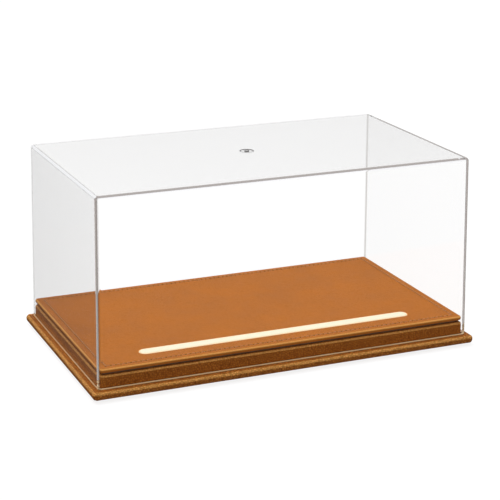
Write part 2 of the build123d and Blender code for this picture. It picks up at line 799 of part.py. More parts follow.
# Cells, lying head to tail
for row, y in enumerate(cell_rows):
    facing = 1 if row % 2 == 0 else -1
    flat_end_x = -facing * (bay_length / 2 - contact_depth - spring_length - cell_play)
    with BuildPart() as cell:
        with BuildSketch(Plane(origin=(flat_end_x, y, cell_z), z_dir=(facing, 0, 0))):
            Circle(cell_diameter / 2)
        extrude(amount=cell_length - cell_nub_height)
        chamfer(cell.edges(), cell_edge_chamfer)
        with BuildSketch(Plane(origin=(flat_end_x, y, cell_z), z_dir=(facing, 0, 0))):
            Circle(cell_nub_diameter / 2)
        extrude(amount=cell_length)
    cell.part.label = f"battery_cell_{row + 1}"
    export_step(cell.part, f"parts/battery_cell_{row + 1}.step")


def contact(wall_x, facing, spring_y, dimple_y, lug_y):
    """A sheet-metal contact against an end wall, with a wound spring, a pressed dimple and a lug."""
    sheet_x = wall_x + facing * contact_gap
    face_x = sheet_x + facing * contact_sheet
    rows = [y for y in (spring_y, dimple_y) if y is not None]
    with BuildPart() as piece:
        with BuildSketch(Plane(origin=(sheet_x, 0, cell_z), x_dir=(0, facing, 0), z_dir=(facing, 0, 0))):
            with Locations((facing * (max(rows) + min(rows)) / 2, 0)):
                Rectangle(max(rows) - min(rows) + contact_width, contact_height)
            if lug_y is not None:
                with Locations((facing * lug_y, 0)):
                    Rectangle(lug_width, lug_top - cell_z, align=(Align.CENTER, Align.MIN))
        extrude(amount=contact_sheet)
        if dimple_y is not None:
            with BuildSketch(Plane(origin=(face_x, dimple_y, cell_z), z_dir=(facing, 0, 0))):
                Circle(dimple_diameter / 2)
            extrude(amount=dimple_height, taper=45)
        if spring_y is not None:
            quarter_count = 4 * spring_turns
            rise = spring_length - spring_wire
            with BuildLine() as coil:
                for quarter in range(quarter_count):
                    points = []
                    for step in (quarter, quarter + 0.5, quarter + 1):
                        share = step / quarter_count
                        radius = spring_base_radius + share * (spring_tip_radius - spring_base_radius)
                        angle = step * math.pi / 2
                        points.append(
                            (
                                face_x + facing * (spring_wire / 3 + share * rise),
                                spring_y + radius * math.cos(angle),
                                cell_z + radius * math.sin(angle),
                            )
                        )
                    ThreePointArc(*points)
            with BuildSketch(Plane(origin=coil.line @ 0, z_dir=coil.line % 0)):
                RegularPolygon(spring_wire / 2, spring_wire_sides)
            sweep(path=coil.line)
    return piece.part


contact_negative = contact(bay_low_x, 1, cell_rows[2], None, cell_rows[2])
contact_negative.label = "contact_negative"
export_step(contact_negative, "parts/contact_negative.step")

contact_link_left = contact(bay_low_x, 1, cell_rows[0], cell_rows[1], None)
contact_link_left.label = "contact_link_left"
export_step(contact_link_left, "parts/contact_link_left.step")

contact_link_right = contact(bay_high_x, -1, cell_rows[1], cell_rows[2], None)
contact_link_right.label = "contact_link_right"
export_step(contact_link_right, "parts/contact_link_right.step")

contact_positive = contact(bay_high_x, -1, None, cell_rows[0], cell_rows[0])
contact_positive.label = "contact_positive"
export_step(contact_positive, "parts/contact_positive.step")

print("least gap between the turns of a contact spring, mm:",
      round((spring_length - spring_wire) / spring_turns - spring_wire, 2))

# Slide switch: a can on a plate, with the slider's carriage in its cavity
cavity_top = switch_plate_bottom + switch_cavity_height
with BuildPart() as switch_body:
    with BuildSketch(Plane.XY.offset(switch_plate_bottom)):
        with Locations((switch_x, switch_y)):
            RectangleRounded(switch_plate_length, switch_body_width, switch_body_width / 4)
    extrude(amount=switch_plate_thickness)
    with BuildSketch(Plane.XY.offset(switch_plate_top)):
        with Locations((switch_x, switch_y)):
            Rectangle(switch_body_length, switch_body_width)
    extrude(amount=switch_body_height)
    with BuildSketch(Plane.XY.offset(switch_plate_top)):
        with Locations((switch_x, switch_y)):
            Rectangle(carriage_length + switch_travel + 2 * switch_gap, carriage_width + 2 * switch_gap)
    extrude(amount=switch_cavity_height, mode=Mode.SUBTRACT)
    with BuildSketch(Plane.XY.offset(switch_plate_bottom)):
        with Locations((switch_x, switch_y)):
            Rectangle(stem_length + switch_travel + 2 * switch_gap, stem_width + 2 * switch_gap)
        with Locations([(x, switch_y) for x in switch_bosses]):
            Circle(small_screw_diameter / 2 + screw_hole_gap)
    extrude(amount=switch_plate_thickness, mode=Mode.SUBTRACT)
switch_body.part.label = "switch_body"
export_step(switch_body.part, "parts/switch_body.step")

# The slider stands at its lit end, from which it moves along +X
slider_x = switch_x - switch_travel / 2
with BuildPart() as switch_slider:
    with BuildSketch(Plane.XY.offset(switch_plate_top + switch_gap)):
        with Locations((slider_x, switch_y)):
            Rectangle(carriage_length, carriage_width)
    extrude(amount=carriage_height)
    with BuildSketch(Plane.XY.offset(switch_plate_bottom - switch_gap)):
        with Locations((slider_x, switch_y)):
            Rectangle(stem_length, stem_width)
    extrude(amount=switch_plate_thickness + 2 * switch_gap)
    with BuildSketch(Plane.XY.offset(switch_plate_bottom - switch_gap)):
        with Locations((slider_x, switch_y)):
            Rectangle(knob_length, knob_width)
    extrude(amount=door_face - knob_proud - switch_plate_bottom + switch_gap)
    chamfer(switch_slider.edges().group_by(Axis.Z)[0], knob_proud / 3)
switch_slider.part.label = "switch_slider"
export_step(switch_slider.part, "parts/switch_slider.step")

with BuildPart() as switch_terminals:
    with BuildSketch(Plane.XY.offset(switch_body_top)):
        with Locations((switch_x, switch_y)):
            with GridLocations(terminal_pitch, 0, 3, 1):
                Rectangle(terminal_length, terminal_thickness)
    extrude(amount=terminal_height)
switch_terminals.part.label = "switch_terminals"
export_step(switch_terminals.part, "parts/switch_terminals.step")

# Wires: two run from the battery box to the light bar, and one joins the cells to the switch
outer_bend = wire_bend_radius + wire_pitch / 2
inner_bend = wire_bend_radius - wire_pitch / 2
red_x = wire_column_x + wire_pitch / 2
black_x = wire_column_x - wire_pitch / 2
wire_red = wire(
    [
        (switch_x, switch_y, terminal_top),
        (switch_x, switch_y, wire_z),
        (red_x, switch_y, wire_z),
        (red_x, solder_rows[1], wire_z),
        (red_x, solder_rows[1], solder_z),
        (solder_end_x, solder_rows[1], solder_z),
    ],
    [wire_turn_radius, outer_bend, wire_turn_radius, wire_turn_radius],
)
wire_red.label = "wire_red"
export_step(wire_red, "parts/wire_red.step")

wire_black = wire(
    [
        (lug_left_x, cell_rows[2], lug_top),
        (lug_left_x, cell_rows[2], wire_z),
        (black_x, cell_rows[2], wire_z),
        (black_x, solder_rows[0], wire_z),
        (black_x, solder_rows[0], solder_z),
        (solder_end_x, solder_rows[0], solder_z),
    ],
    [wire_turn_radius, inner_bend, wire_turn_radius, wire_turn_radius],
)
wire_black.label = "wire_black"
export_step(wire_black, "parts/wire_black.step")

wire_link = wire(
    [
        (lug_right_x, cell_rows[0], lug_top),
        (lug_right_x, cell_rows[0], wire_z),
        (switch_x - terminal_pitch, switch_y, wire_z),
        (switch_x - terminal_pitch, switch_y, terminal_top),
    ],
    [wire_turn_radius, wire_turn_radius],
)
wire_link.label = "wire_link"
export_step(wire_link, "parts/wire_link.step")

# Screws
base_screw = countersunk_screw(base_screw_diameter, base_screw_length, base_screw_head)
with BuildPart() as base_screws:
    with Locations([(x, y, plinth_bottom + screw_sink) for x, y in base_screws_xy]):
        add(base_screw)
base_screws.part.label = "base_screws"
export_step(base_screws.part, "parts/base_screws.step")

box_screw = countersunk_screw(small_screw_diameter, small_screw_length, small_screw_head)
with BuildPart() as battery_box_screws:
    with Locations([(x, y, door_face + screw_sink) for x, y in box_screws_xy]):
        add(box_screw)
battery_box_screws.part.label = "battery_box_screws"
export_step(battery_box_screws.part, "parts/battery_box_screws.step")

with BuildPart() as switch_screws:
    with BuildSketch(Plane.XY.offset(switch_plate_top)):
        with Locations([(x, switch_y) for x in switch_bosses]):
            Circle(small_screw_head / 2)
    extrude(amount=small_screw_diameter / 2)
    with BuildSketch(Plane.XY.offset(switch_plate_top)):
        with Locations([(x, switch_y) for x in switch_bosses]):
            Circle(small_screw_diameter / 2)
    extrude(amount=-switch_screw_length)
switch_screws.part.label = "switch_screws"
export_step(switch_screws.part, "parts/switch_screws.step")
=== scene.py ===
"""Finishes for a display case: a clear cover over a leather base with a light bar in its deck."""

import math

import bmesh
import bpy
from bpy.props import FloatProperty, FloatVectorProperty, PointerProperty
from mathutils import Matrix, Vector, noise


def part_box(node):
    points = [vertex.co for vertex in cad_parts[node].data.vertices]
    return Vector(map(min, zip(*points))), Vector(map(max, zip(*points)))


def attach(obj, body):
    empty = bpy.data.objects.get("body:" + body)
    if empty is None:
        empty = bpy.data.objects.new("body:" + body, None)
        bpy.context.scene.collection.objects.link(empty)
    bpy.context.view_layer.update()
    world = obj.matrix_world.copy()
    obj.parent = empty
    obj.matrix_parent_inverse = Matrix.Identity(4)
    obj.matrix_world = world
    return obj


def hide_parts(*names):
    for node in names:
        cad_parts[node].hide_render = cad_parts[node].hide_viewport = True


bl_info = {
    "name": "Leather Display Case",
    "version": (1, 0, 0),
    "blender": (4, 5, 0),
    "location": "3D View > Sidebar > Display Case",
    "description": "Dresses a display case in leather, clear acrylic and light",
    "category": "Object",
}

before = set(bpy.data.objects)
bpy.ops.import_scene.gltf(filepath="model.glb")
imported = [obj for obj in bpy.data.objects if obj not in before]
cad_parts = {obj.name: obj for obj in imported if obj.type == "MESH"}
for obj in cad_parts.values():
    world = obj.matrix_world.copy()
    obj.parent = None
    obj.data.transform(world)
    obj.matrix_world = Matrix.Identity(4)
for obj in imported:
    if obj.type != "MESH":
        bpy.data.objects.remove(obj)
MM = 0.001


def length(name, description, default):
    """A length property in metres, given in millimetres."""
    return FloatProperty(
        name=name,
        description=description,
        default=default * MM,
        unit="LENGTH",
        subtype="DISTANCE",
        precision=5,
        min=0,
    )


def angle(name, description, default):
    """An angle property in radians, given in degrees."""
    return FloatProperty(name=name, description=description, default=math.radians(default), subtype="ANGLE")


def number(name, description, default, lowest=0, highest=10):
    """A property without a unit."""
    return FloatProperty(name=name, description=description, default=default, min=lowest, max=highest)


def colour(name, description, default):
    """A colour property in linear light."""
    return FloatVectorProperty(
        name=name, description=description, default=default, size=3, subtype="COLOR", min=0, max=1
    )


class CaseLeather(bpy.types.PropertyGroup):
    """Sizes and colours of the leather and its stitching."""

    thickness: length("Thickness", "Thickness of the leather", 0.8)
    plinth_edge: length("Plinth edge", "Rounding of the plinth's edges", 2.8)
    plinth_corner: length("Plinth corner", "Rounding of the plinth's corners in plan", 3.2)
    riser_edge: length("Riser edge", "Rounding of the riser's top edge", 1.9)
    riser_corner: length("Riser corner", "Rounding of the riser's corners in plan", 2.6)
    deck_edge: length("Deck edge", "Rounding of the deck's edges", 1.5)
    deck_corner: length("Deck corner", "Rounding of the deck's corners in plan", 2.6)
    slot_edge: length("Slot edge", "Rounding of the leather where it dips into the light slot", 0.5)
    slot_band: length("Slot band", "Width of the flat band round the light slot", 1.2)
    turn_in: length("Turn-in", "Width of the leather turned in under the plinth", 15)
    fold_depth: length("Fold depth", "Depth of the mitred folds at the corners", 0.32)
    fold_width: length("Fold width", "Half width of the mitred folds at the corners", 0.42)
    fold_reach: length("Fold reach", "How far from a corner a fold is drawn", 20)
    fold_ridge: length("Fold ridge", "Distance of the ridge beside a fold", 1.0)
    ridge_width: length("Ridge width", "Half width of the ridge beside a fold", 0.6)
    pucker: length("Pucker", "Height of the puckers beside the folds", 0.09)
    pucker_fade: length("Pucker fade", "How fast the puckers die away from a corner", 6)
    unevenness: length("Unevenness", "How far the leather wanders from a true plane", 0.05)
    stitch_inset: length("Stitch inset", "Distance of the stitch row from the deck's edge", 6.3)
    stitch_pitch: length("Stitch pitch", "Distance between two stitch holes", 4.1)
    stitch_sink: length("Stitch sink", "How far the stitches draw the leather down", 0.08)
    hole_radius: length("Hole radius", "Radius of a stitch hole", 0.9)
    hole_depth: length("Hole depth", "Depth of a stitch hole", 0.6)
    thread: length("Thread", "Diameter of the thread", 0.8)
    thread_dip: length("Thread dip", "How far a stitch dives at its ends", 0.6)
    thread_rise: length("Thread rise", "How far a stitch rises from its ends to its middle", 0.8)
    thread_lean: length("Thread lean", "How far a stitch slants across its row", 0.25)
    tan: colour("Tan", "Main colour of the leather", (0.58, 0.18, 0.022))
    shade: colour("Shade", "Colour in the grain's creases", (0.19, 0.05, 0.004))
    # Painted highlight: the rounded edges that face upwards are mixed towards this paler colour, as if lit
    # from above.
    edge_highlight: colour("Highlight", "Colour along the rounded edges", (1.0, 0.47, 0.12))
    thread_colour: colour("Thread colour", "Colour of the thread", (0.72, 0.32, 0.12))
    # Painted highlight: the tops of the pebbles are mixed towards this paler colour, as if they catch the
    # light.
    highlighted_tips: colour("Tips", "Colour of the polished tips of the grain", (0.8, 0.42, 0.12))
    grain: length("Grain", "Size of a pebble of the grain", 1.75)


class CaseLight(bpy.types.PropertyGroup):
    """Looks of the cover and the light bar."""

    bar_colour: colour("Bar colour", "Colour of the lit bar along its middle", (1.0, 0.94, 0.66))
    bar_rim: colour("Bar rim", "Colour of the lit bar along its rim", (1.0, 0.72, 0.38))
    bar_strength: number("Bar strength", "Strength of the lit bar", 0.66)
    cover_index: number("Cover index", "Index of refraction of the cover", 1.17, lowest=1, highest=2)
    cover_draft: number("Cover draft", "Slope of the cover's walls", 0.0157)
    cover_corner: length("Cover corner", "Rounding of the cover's upright corners in plan", 3.5)
    corner_width: length("Corner width", "How far the grey of the cover's corners reaches", 2.6)
    # Painted shade: the cover is greyed where two walls meet and where a wall meets the top, where its edges
    # look darker in the light.
    corner_shade: colour("Corner shading", "Tint of the cover where two walls meet", (0.4, 0.38, 0.36))
    top_shade: colour("Top edge shading", "Tint of the cover where a wall meets the top", (0.84, 0.85, 0.88))
    # Painted light: the cover glows in this tone wherever a ray has passed many times inside its walls.
    caught_light_glow: colour("Edge tone", "Tone of the light caught inside the cover's walls", (0.5, 0.46, 0.44))
    # Painted highlight: a pale warm band inside the wall stands for the light caught along the cover's foot.
    rim_highlight_colour: colour("Rim colour", "Colour of the satin band at the cover's foot", (1.0, 0.68, 0.38))
    gate_ring: length("Gate ring", "Radius of the outer ring of the moulding gate mark", 5.6)
    gate_nib: length("Gate nib", "Radius of the inner ring of the moulding gate mark", 1.7)
    gate_sink: length("Gate sink", "Depth of the gate mark's rings below the top", 0.35)


class CaseStage(bpy.types.PropertyGroup):
    """The camera, the lamps and the floor."""

    azimuth: angle("Azimuth", "Turn of the view round the case", -23.2012)
    elevation: angle("Elevation", "Height of the view", 17.5138)
    roll: angle("Roll", "Tilt of the picture", 0.3113)
    lens: FloatProperty(name="Lens", description="Focal length", default=112.491, unit="CAMERA", min=1)
    camera_place: FloatVectorProperty(
        name="Camera place",
        description="Where the camera stands",
        default=(-0.4861, -1.142, 0.4665),
        size=3,
        subtype="XYZ",
        unit="LENGTH",
    )
    floor_size: length("Floor size", "Side of the floor", 12000)
    floor_colour: colour("Floor colour", "Colour of the floor", (0.22, 0.22, 0.22))
    floor_glow: number("Floor glow", "Light added to the floor's white", 0.85)
    mirror_below: number("Mirrored floor", "Brightness of what shiny surfaces mirror below", 0.06)
    mirror_above: number("Mirrored studio", "Brightness of what shiny surfaces mirror above", 0.62)
    lamp_strength: number("Lamp strength", "Strength of the key lamp", 1.42)
    below_strength: number("Lower lamp strength", "Strength of the lamp that shows the underside", 1.2)
    sky_strength: number("Sky strength", "Strength of the soft light", 0.5)


def box_of(node):
    """The middle of a node in plan, its half sizes and its heights."""
    low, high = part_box(node)
    middle = (low + high) / 2
    half = (high - low) / 2
    return middle, half, low.z, high.z


class Shader:
    """A material's node tree, with short ways to add and join nodes."""

    def __init__(self, name, tree=None):
        if tree is None:
            self.material = bpy.data.materials.new(name)
            self.material.use_nodes = True
            tree = self.material.node_tree
        self.nodes = tree.nodes
        self.links = tree.links
        self.surface = self.nodes.get("Principled BSDF")
        self.output = self.nodes.get("Material Output") or self.nodes["World Output"]
        self.place = self.add("ShaderNodeTexCoord").outputs["Object"]

    def add(self, kind, inputs=(), **settings):
        node = self.nodes.new(kind)
        for key, value in settings.items():
            setattr(node, key, value)
        for key, value in dict(inputs).items():
            self.feed(node.inputs[key], value)
        return node

    def feed(self, socket, value):
        if isinstance(value, bpy.types.NodeSocket):
            self.links.new(value, socket)
        elif isinstance(value, bpy.types.Node):
            self.links.new(value.outputs[0], socket)
        else:
            socket.default_value = value

    def set(self, **values):
        """Sets or links inputs of the surface shader; an underscore in a name stands for a space."""
        for key, value in values.items():
            if isinstance(value, tuple) and len(value) == 3:
                value = (*value, 1)
            self.feed(self.surface.inputs[key.replace("_", " ")], value)

    def noise(self, size, detail=2, roughness=0.5, distortion=0):
        """Noise whose lumps are about that size, in metres."""
        return self.add(
            "ShaderNodeTexNoise",
            {
                "Vector": self.place,
                "Scale": 1 / size,
                "Detail": detail,
                "Roughness": roughness,
                "Distortion": distortion,
            },
        )

    def cells(self, size, place):
        """The distance to the nearest border between cells of about that size, in metres."""
        inputs = {"Vector": place, "Scale": 1 / size}
        return self.add("ShaderNodeTexVoronoi", inputs, feature="DISTANCE_TO_EDGE").outputs["Distance"]

    def ramp(self, value, *stops):
        """A colour ramp through (position, colour) stops; a plain number stands for a grey."""
        node = self.add("ShaderNodeValToRGB", {"Fac": value})
        elements = node.color_ramp.elements
        while len(elements) < len(stops):
            elements.new(0.5)
        for element, (position, tone) in zip(elements, stops):
            element.position = position
            element.color = (*tone, 1) if isinstance(tone, tuple) else (tone, tone, tone, 1)
        return node.outputs["Color"]

    def math(self, operation, *values, clamp=False):
        node = self.add("ShaderNodeMath", operation=operation, use_clamp=clamp)
        for socket, value in zip(node.inputs, values):
            self.feed(socket, value)
        return node.outputs[0]

    def mix(self, share, first, second, blend="MIX"):
        """A blend of two colours."""
        node = self.add("ShaderNodeMix", data_type="RGBA", blend_type=blend)
        for socket, value in zip((node.inputs[0], node.inputs[6], node.inputs[7]), (share, first, second)):
            if isinstance(value, tuple) and len(value) == 3:
                value = (*value, 1)
            self.feed(socket, value)
        return node.outputs[2]

    def axes(self, vector):
        """The X, Y and Z sockets of a vector."""
        return self.add("ShaderNodeSeparateXYZ", {0: vector}).outputs

    def bump(self, height, distance, strength=1.0):
        """Relief whose full height is the distance, in metres."""
        inputs = {"Height": height, "Distance": distance, "Strength": strength}
        return self.add("ShaderNodeBump", inputs).outputs["Normal"]


def scaled(tone, factor):
    """A colour made lighter or darker."""
    return tuple(min(1, channel * factor) for channel in tone)


def pebbles(shader, size):
    """The height of a pebbled grain, from 0 in its creases to 1 on its tips."""
    drift = shader.noise(3 * size).outputs["Color"]
    drift = shader.add("ShaderNodeVectorMath", {0: drift, "Scale": 0.4 * size}, operation="SCALE")
    warped = shader.add("ShaderNodeVectorMath", {0: shader.place, 1: drift}, operation="ADD")
    return shader.ramp(shader.cells(size, warped), (0.0, 0.0), (0.16, 0.72), (0.5, 1.0))


def leather_finish(name, leather, crease=0.95, relief=0.432, highlighted_tips=0.3):
    """Tan leather: pebbled, with painted shade in its creases, a painted highlight along its upward-facing
    rounded edges and on the tops of its pebbles, and a soft uneven shine.

    The crease is how dark the painted shade in the creases gets, the relief is the height of the grain in
    millimetres, and the last argument says how much of the painted highlight colour the tops of the pebbles
    show.
    """
    shader = Shader(name)
    rise = pebbles(shader, leather.grain)
    pores = shader.noise(0.2 * leather.grain, detail=3, roughness=0.6).outputs["Fac"]
    clouds = shader.noise(0.03, detail=4, roughness=0.6).outputs["Fac"]
    wear = shader.noise(0.09, detail=3, roughness=0.55).outputs["Fac"]
    body = shader.mix(
        shader.ramp(clouds, (0.3, 0.0), (0.7, 1.0)), scaled(leather.tan, 0.93), scaled(leather.tan, 1.06)
    )
    body = shader.mix(shader.ramp(wear, (0.45, 0.0), (0.75, 0.22)), body, scaled(leather.tan, 1.15))
    # Painted highlight: where the leather's normal leans upwards, on its rounded edges, the colour is mixed
    # towards a paler one, as if lit from above.
    upward = shader.axes(shader.add("ShaderNodeNewGeometry").outputs["Normal"])["Z"]
    edge = shader.ramp(upward, (0.1, 0.0), (0.4, 0.95), (0.85, 0.95), (0.98, 0.0))
    body = shader.mix(edge, body, tuple(leather.edge_highlight))
    # Painted shade: the grain's creases are darkened towards the shade colour, less so where the edges carry
    # the painted highlight.
    depth = shader.ramp(rise, (0.0, crease), (0.85, 0.0))
    depth = shader.math("MULTIPLY", depth, shader.ramp(edge, (0.0, 1.0), (1.0, 0.7)))
    body = shader.mix(depth, body, tuple(leather.shade))
    # Painted highlight on the tops of the pebbles.
    body = shader.mix(shader.ramp(rise, (0.78, 0.0), (0.95, highlighted_tips)), body, tuple(leather.highlighted_tips))
    # Painted shade: the leather is darkened in the stitch holes, more so where a hole is deeper.
    hole_shade = shader.add("ShaderNodeAttribute", attribute_name="pit").outputs["Fac"]
    patchy = shader.math("MULTIPLY", shader.math("SUBTRACT", clouds, 0.5), 0.18)
    shader.set(
        Base_Color=shader.mix(hole_shade, body, scaled(leather.shade, 0.55)),
        Roughness=shader.math("ADD", shader.ramp(rise, (0.0, 0.62), (1.0, 0.44)), patchy),
        Specular_IOR_Level=0.2,
        Specular_Tint=(1, 0.82, 0.55),
        Normal=shader.bump(shader.math("ADD", rise, shader.math("MULTIPLY", pores, 0.35)), relief * MM),
    )
    return shader.material


def thread_finish(leather):
    """Waxed thread with its twist."""
    shader = Shader("thread")
    twist = shader.noise(0.00035, detail=1).outputs["Fac"]
    shader.set(
        Base_Color=shader.mix(twist, scaled(leather.thread_colour, 0.8), tuple(leather.thread_colour)),
        Roughness=0.55,
        Sheen_Weight=0.2,
        Normal=shader.bump(twist, 0.0001),
    )
    return shader.material


def acrylic_finish(light, middle, half, low, high):
    """Clear acrylic, polished, with the faintest haze of handling, with painted shade along its edges and a
    painted glow where light is caught inside its walls.
    """
    shader = Shader("acrylic")
    place = shader.axes(shader.place)
    lean = shader.math("MULTIPLY", shader.math("SUBTRACT", place["Z"], low), light.cover_draft)
    gaps = []
    for axis, size, centre in (("X", half.x, middle.x), ("Y", half.y, middle.y)):
        offset = shader.math("ABSOLUTE", shader.math("SUBTRACT", place[axis], centre))
        gaps.append(shader.math("SUBTRACT", size, shader.math("ADD", lean, offset)))
    corner = shader.math("DIVIDE", shader.math("MAXIMUM", *gaps), light.corner_width)
    drop = shader.math("SUBTRACT", high, place["Z"])
    top_edge = shader.math("MAXIMUM", shader.math("MINIMUM", *gaps), drop)
    top_edge = shader.math("DIVIDE", top_edge, light.corner_width)
    haze = shader.noise(0.05, detail=5, roughness=0.7).outputs["Fac"]
    # Painted shade: the colour is greyed towards the cover's upright corners and along its top edges.
    shader.set(
        Base_Color=shader.mix(
            1.0,
            shader.ramp(corner, (0.5, tuple(light.corner_shade)), (1.0, 1.0)),
            shader.ramp(top_edge, (0.5, tuple(light.top_shade)), (1.0, 1.0)),
            blend="MULTIPLY",
        ),
        Roughness=shader.ramp(haze, (0.4, 0.0), (0.9, 0.012)),
        IOR=light.cover_index,
        Transmission_Weight=1.0,
    )
    depth = shader.add("ShaderNodeVolumeAbsorption", {"Color": (0.75, 0.72, 0.7, 1), "Density": 6})
    shader.links.new(depth.outputs[0], shader.output.inputs["Volume"])
    # Painted light: rays that have bounced many times inside the cover end in a glow of a fixed tone.
    caught = shader.math("GREATER_THAN", shader.add("ShaderNodeLightPath").outputs["Ray Depth"], 4.5)
    glow = shader.add("ShaderNodeEmission", {"Color": (*light.caught_light_glow, 1)})
    mixed = shader.add("ShaderNodeMixShader", {0: caught, 1: shader.surface, 2: glow})
    shader.links.new(mixed.outputs[0], shader.output.inputs["Surface"])
    return shader.material


def opal_finish(light, slot_middle, slot_half):
    """Opal plastic lit from below, warmer and dimmer towards its rim."""
    shader = Shader("opal")
    place = shader.axes(shader.place)
    off_axis = shader.math("ABSOLUTE", shader.math("SUBTRACT", place["Y"], slot_middle.y))
    along = shader.math("ABSOLUTE", shader.math("SUBTRACT", place["X"], slot_middle.x))
    past_end = shader.math("MAXIMUM", shader.math("SUBTRACT", along, slot_half.x - slot_half.y), 0.0)
    squares = [shader.math("POWER", distance, 2.0) for distance in (off_axis, past_end)]
    reach = shader.math("DIVIDE", shader.math("SQRT", shader.math("ADD", *squares)), slot_half.y)
    towards_rim = shader.ramp(reach, (0.0, 0.0), (0.62, 0.1), (1.0, 1.0))
    grain = shader.noise(0.0006).outputs["Fac"]
    shader.set(
        Base_Color=(0.35, 0.34, 0.29),
        Roughness=0.38,
        Emission_Color=shader.mix(towards_rim, tuple(light.bar_colour), tuple(light.bar_rim)),
        Emission_Strength=light.bar_strength,
        Normal=shader.bump(grain, 0.00002, 0.4),
    )
    return shader.material


def plain_finish(name, tone, roughness, metallic=0.0, grain=0.0006, relief=0.00003):
    """A solid-coloured finish with fine relief, uneven tone and uneven shine."""
    shader = Shader(name)
    fine = shader.noise(grain, detail=3, roughness=0.6).outputs["Fac"]
    broad = shader.noise(0.012, detail=4, roughness=0.6).outputs["Fac"]
    shader.set(
        Base_Color=shader.mix(broad, scaled(tone, 0.88), scaled(tone, 1.12)),
        Roughness=shader.math("ADD", roughness - 0.06, shader.math("MULTIPLY", broad, 0.12), clamp=True),
        Metallic=metallic,
        Normal=shader.bump(fine, relief, 0.6),
    )
    return shader.material


def felt_finish():
    """Dark felt with crossing fibres."""
    shader = Shader("felt")
    fibres = shader.noise(0.0004, detail=4, roughness=0.8, distortion=1.5).outputs["Fac"]
    tufts = shader.noise(0.004, detail=3).outputs["Fac"]
    share = shader.math("MULTIPLY", fibres, tufts)
    shader.set(
        Base_Color=shader.mix(share, (0.02, 0.02, 0.021), (0.16, 0.155, 0.15)),
        Roughness=0.95,
        Sheen_Weight=0.5,
        Sheen_Roughness=0.6,
        Normal=shader.bump(fibres, 0.0003, 0.9),
    )
    return shader.material


def board_finish():
    """Fibreboard: fine brown fibres pressed flat."""
    shader = Shader("fibreboard")
    fibres = shader.noise(0.0009, detail=5, roughness=0.75).outputs["Fac"]
    shader.set(
        Base_Color=shader.mix(fibres, (0.2, 0.115, 0.06), (0.42, 0.27, 0.15)),
        Roughness=0.85,
        Normal=shader.bump(fibres, 0.0001, 0.5),
    )
    return shader.material


def cell_finish(node):
    """A cell's sleeve: a bright band at its positive end, dark along the rest, and bare metal ends."""
    middle, half, _, _ = box_of(node)
    facing = 1 if int(node[-1]) % 2 else -1
    shader = Shader(f"sleeve_{node[-1]}")
    along = shader.math("SUBTRACT", shader.axes(shader.place)["X"], middle.x)
    along = shader.math("DIVIDE", shader.math("MULTIPLY", along, facing), 2 * half.x)
    share = shader.math("ADD", along, 0.5)
    scuffs = shader.noise(0.002, detail=4, roughness=0.7).outputs["Fac"]
    dark = (0.02, 0.022, 0.025)
    bright = (0.62, 0.3, 0.06)
    stops = ((0.0, 0.55), (0.015, dark), (0.7, dark), (0.705, bright), (0.955, bright), (0.965, 0.6))
    tone = shader.ramp(share, *stops)
    metal = shader.ramp(share, (0.0, 1.0), (0.015, 0.0), (0.965, 1.0))
    for bands in (tone, metal):
        bands.node.color_ramp.interpolation = "CONSTANT"
    shader.set(
        Base_Color=tone,
        Metallic=metal,
        Roughness=shader.math("ADD", 0.24, shader.math("MULTIPLY", scuffs, 0.16)),
        Normal=shader.bump(scuffs, 0.00002, 0.5),
    )
    return shader.material


def paint(node, material):
    """Gives a node its finish."""
    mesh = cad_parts[node].data
    mesh.materials.clear()
    mesh.materials.append(material)


def ring(half, corner, inset, arc_steps, near, counts):
    """Points of a rounded rectangle, anticlockwise, moved inwards by the inset: the same count at any inset.

    The near distances are kept at both ends of each side, and the rest of it has even steps, as many as the
    counts say for the sides along X and along Y.
    """
    points = []
    reach = near[-1] if near else 0
    for turn in range(4):
        size = Vector((half.x, half.y)) if turn % 2 == 0 else Vector((half.y, half.x))
        rotation = Matrix.Rotation(turn * math.pi / 2, 2)
        radius = max(corner - inset, 0)
        centre = size - Vector((1, 1)) * max(corner, inset)
        for step in range(arc_steps + 1):
            sweep = math.pi / 2 * step / arc_steps
            points.append(rotation @ (centre + radius * Vector((math.cos(sweep), math.sin(sweep)))))
        span = 2 * centre.x
        count = counts[turn % 2]
        middle = [reach + (span - 2 * reach) * step / count for step in range(1, count)]
        far = [span - distance for distance in reversed(near)]
        for distance in (*near, *middle, *far):
            points.append(rotation @ Vector((centre.x - distance, centre.y + radius)))
    return points


def rings(profile, middle, half, corner, arc_steps, near, counts):
    """A ring of points round the middle for each (inset, height) of a profile."""
    return [
        [
            (point.x + middle.x, point.y + middle.y, height)
            for point in ring(half, corner, inset, arc_steps, near, counts)
        ]
        for inset, height in profile
    ]


def join_rings(mesh, loops):
    """Faces between rings of vertices that follow each other."""
    for first, second in zip(loops, loops[1:]):
        count = len(first)
        for index in range(count):
            following = (index + 1) % count
            mesh.faces.new((first[index], second[index], second[following], first[following]))


def sheet_object(name, *bands):
    """A sheet through bands of rings of points; a flat face joins two bands where they are highest."""
    mesh = bmesh.new()
    for band in bands:
        join_rings(mesh, [[mesh.verts.new(point) for point in points] for points in band])
    bmesh.ops.remove_doubles(mesh, verts=mesh.verts, dist=1e-7)
    top = max(vertex.co.z for vertex in mesh.verts)
    if len(bands) > 1:
        borders = [edge for edge in mesh.edges if edge.is_boundary]
        rim = [edge for edge in borders if min(vertex.co.z for vertex in edge.verts) > top - 1e-6]
        bmesh.ops.triangle_fill(mesh, use_beauty=True, edges=rim)
    bmesh.ops.recalc_face_normals(mesh, faces=mesh.faces)
    highest = [face for face in mesh.faces if face.calc_center_median().z > top - 0.1 * MM]
    if sum(face.normal.z * face.calc_area() for face in highest) < 0:
        bmesh.ops.reverse_faces(mesh, faces=mesh.faces)
    return mesh_object(name, mesh)


